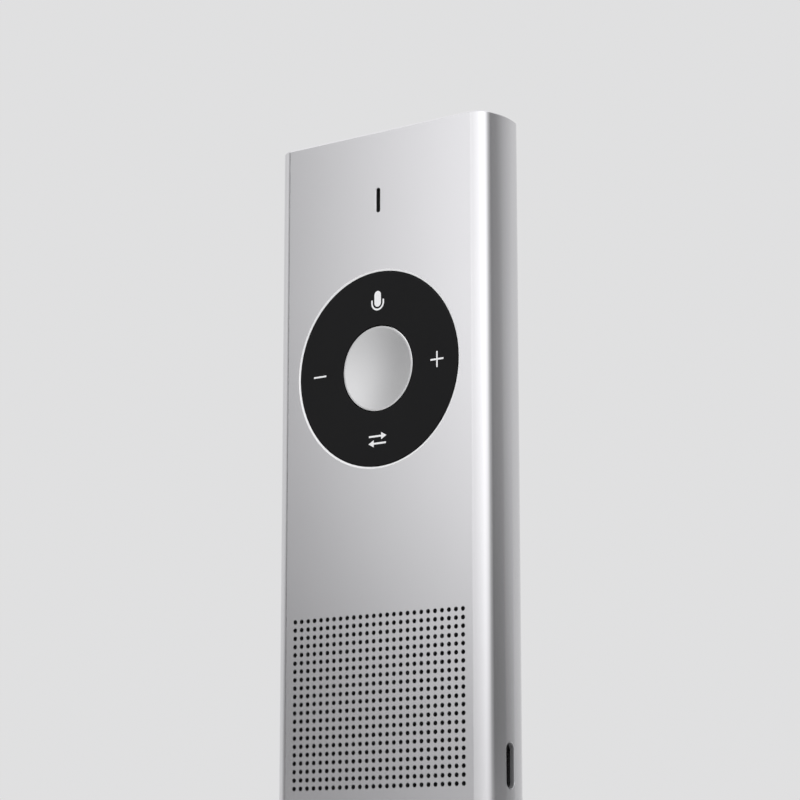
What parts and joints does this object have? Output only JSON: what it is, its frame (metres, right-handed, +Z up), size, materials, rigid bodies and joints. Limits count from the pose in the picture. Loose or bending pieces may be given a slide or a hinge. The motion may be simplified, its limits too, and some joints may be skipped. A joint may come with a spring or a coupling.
{
  "type": "handheld translator",
  "caption": "Slim handheld voice translator: aluminium sleeve with a drilled speaker field, a four-way rocker ring around a push button, and a charging port in one side.",
  "frame": {"origin": "middle of the underside", "axes": "+Z up the standing body towards the microphone slot, -Y out of the front with the keys, +X towards the side with the charging port"},
  "size_m": [0.0402, 0.0104, 0.122],
  "materials": {
    "brushed_aluminium": "satin",
    "grey_plastic": "matte",
    "chassis_plastic": "matte",
    "key_plastic": "satin",
    "mark_ink": "matte",
    "carrier_plastic": "matte",
    "steel": "polished",
    "green_board": "solder mask",
    "chip_black": "matte",
    "cloth": "woven",
    "foam": "foam",
    "silicone": "silicone",
    "cone_film": "satin",
    "copper": "wire",
    "magnet": "nickel plated",
    "battery_wrap": "foil",
    "flex_film": "polyimide"
  },
  "bodies": {
    "housing": {"antenna": "flex_film", "audio_amplifier": "chip_black", "battery_cell": "battery_wrap", "battery_guard": "green_board", "battery_pad": "foam", "battery_plug": "carrier_plastic", "board_cable": "flex_film", "body_shell": "brushed_aluminium", "bottom_cap": "grey_plastic", "cap_screws": "steel", "chassis": "chassis_plastic", "dome_centre": "steel", "domes_ends": "steel", "domes_sides": "steel", "grille_cloth": "cloth", "key_board": "green_board", "key_board_screws": "steel", "key_guide": "chassis_plastic", "main_board": "green_board", "main_board_screws": "steel", "memory": "chip_black", "mic_board": "green_board", "mic_board_screws": "steel", "mic_boot": "silicone", "mic_mesh": "cloth", "microphone": "magnet", "passives": "carrier_plastic", "port_liner": "grey_plastic", "port_shell": "steel", "port_tongue": "chip_black", "processor": "chip_black", "radio_chip": "chip_black", "radio_shield": "steel", "speaker_cone": "cone_film", "speaker_frame": "chassis_plastic", "speaker_gasket": "foam", "speaker_magnet": "magnet", "speaker_yoke": "steel", "top_cap": "brushed_aluminium", "voice_coil": "copper"},
    "centre_button": {"button_cap": "brushed_aluminium", "button_carrier": "carrier_plastic"},
    "rocker": {"rocker_frame": "carrier_plastic", "rocker_pins": "steel"},
    "ring": {"ring_key": "key_plastic", "ring_pins": "steel", "key_marks": "mark_ink"}
  },
  "joints": [
    {"name": "button_press", "type": "slide", "parent": "housing", "child": "centre_button", "axis": [0, 1, 0], "range_m": [0, 0.0004], "stiffness_N_per_m": 2500},
    {"name": "rock_up_down", "type": "hinge", "parent": "housing", "child": "rocker", "pos_m": [0, -0.0026, 0.0848], "axis": [1, 0, 0], "range_deg": [-1.2, 1.2], "stiffness_Nm_per_rad": 1.1},
    {"name": "rock_left_right", "type": "hinge", "parent": "rocker", "child": "ring", "pos_m": [0, -0.0026, 0.0848], "axis": [0, 0, 1], "range_deg": [-1.2, 1.2], "stiffness_Nm_per_rad": 1.1}
  ]
}
